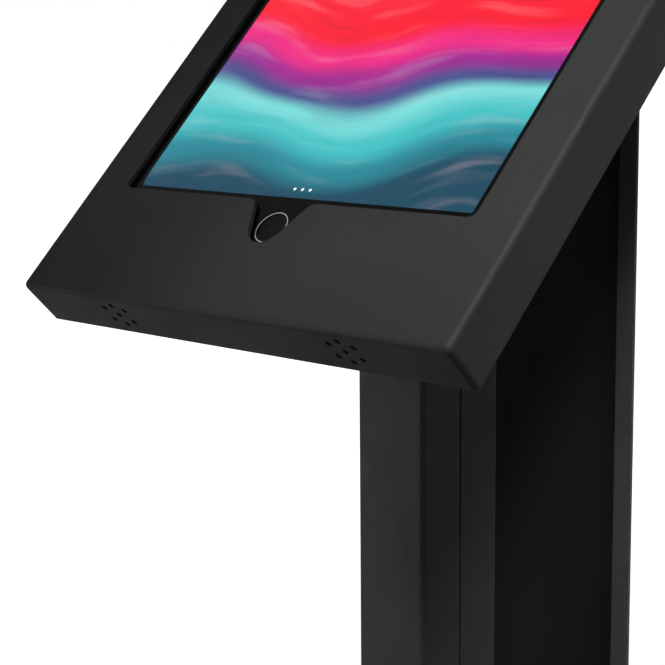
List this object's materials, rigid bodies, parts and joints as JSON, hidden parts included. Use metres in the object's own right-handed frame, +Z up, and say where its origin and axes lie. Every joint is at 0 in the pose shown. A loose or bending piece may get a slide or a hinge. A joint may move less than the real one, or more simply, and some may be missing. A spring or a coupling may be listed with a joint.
{
  "type": "tablet security kiosk stand",
  "caption": "Floor-standing tablet kiosk: a hinged locking steel enclosure slopes on a slim two-channel column with a rear cable duct and a flat floor plate.",
  "frame": {"origin": "on the floor, under the middle of the base plate", "axes": "+X to the right seen from the front, +Y to the back, +Z up"},
  "size_m": [0.35, 0.4, 1.1192],
  "materials": {
    "powder_coat": "matte black powder coat on sheet steel",
    "duct_coat": "deep matte black powder coat",
    "zinc_steel": "bright zinc plate",
    "lock_metal": "bright chrome plate",
    "bracket_plastic": "moulded black plastic",
    "foam": "closed-cell foam",
    "tablet_metal": "blasted and anodised",
    "tablet_glass": "polished glass with a black border",
    "display": "lit display behind the glass",
    "button_black": "polished black",
    "ring_metal": "bright metal ring",
    "rubber": "moulded rubber"
  },
  "bodies": {
    "stand": {"back_tray": "powder_coat", "hinge_tray_leaf": "powder_coat", "head_plate": "powder_coat", "front_channel": "powder_coat", "back_channel": "powder_coat", "seam_strips": "powder_coat", "foot_plate": "powder_coat", "base_plate": "powder_coat", "duct_cover": "powder_coat", "cable_duct": "duct_coat", "bracket_screws": "zinc_steel", "head_bolts": "zinc_steel", "head_nuts": "zinc_steel", "hinge_pin": "zinc_steel", "base_screws": "zinc_steel", "lock_housing": "lock_metal", "lock_nut": "lock_metal", "tablet_brackets": "bracket_plastic", "foam_pads": "foam", "tablet_housing": "tablet_metal", "tablet_glass": "tablet_glass", "display_panel": "display", "home_ring": "ring_metal", "home_switch": "ring_metal", "rubber_feet": "rubber", "cable_grommet": "rubber"},
    "cover": {"front_cover": "powder_coat", "cover_catch": "powder_coat", "hinge_cover_leaf": "powder_coat"},
    "lock": {"lock_plug": "lock_metal", "lock_cam": "lock_metal", "cam_screw": "zinc_steel"},
    "home_button": {"home_button": "button_black"},
    "sleep_key": {"sleep_key": "tablet_metal"},
    "volume_up_key": {"volume_up_key": "tablet_metal"},
    "volume_down_key": {"volume_down_key": "tablet_metal"}
  },
  "joints": [
    {"name": "cover_hinge", "type": "hinge", "parent": "stand", "child": "cover", "pos_m": [0, 0.09607, 1.10238], "axis": [-1, 0, 0], "range_deg": [0, 110]},
    {"name": "lock_turn", "type": "hinge", "parent": "stand", "child": "lock", "pos_m": [0.028, -0.09803, 0.91182], "axis": [0, 0.7071, -0.7071], "range_deg": [0, 90]},
    {"name": "home_press", "type": "slide", "parent": "stand", "child": "home_button", "axis": [0, 0.7071, -0.7071], "range_m": [0, 0.0004], "stiffness_N_per_m": 1000},
    {"name": "sleep_press", "type": "slide", "parent": "stand", "child": "sleep_key", "axis": [0, -0.7071, -0.7071], "range_m": [0, 0.00025], "stiffness_N_per_m": 1000},
    {"name": "volume_up_press", "type": "slide", "parent": "stand", "child": "volume_up_key", "axis": [-1, 0, 0], "range_m": [0, 0.00025], "stiffness_N_per_m": 1000},
    {"name": "volume_down_press", "type": "slide", "parent": "stand", "child": "volume_down_key", "axis": [-1, 0, 0], "range_m": [0, 0.00025], "stiffness_N_per_m": 1000}
  ]
}
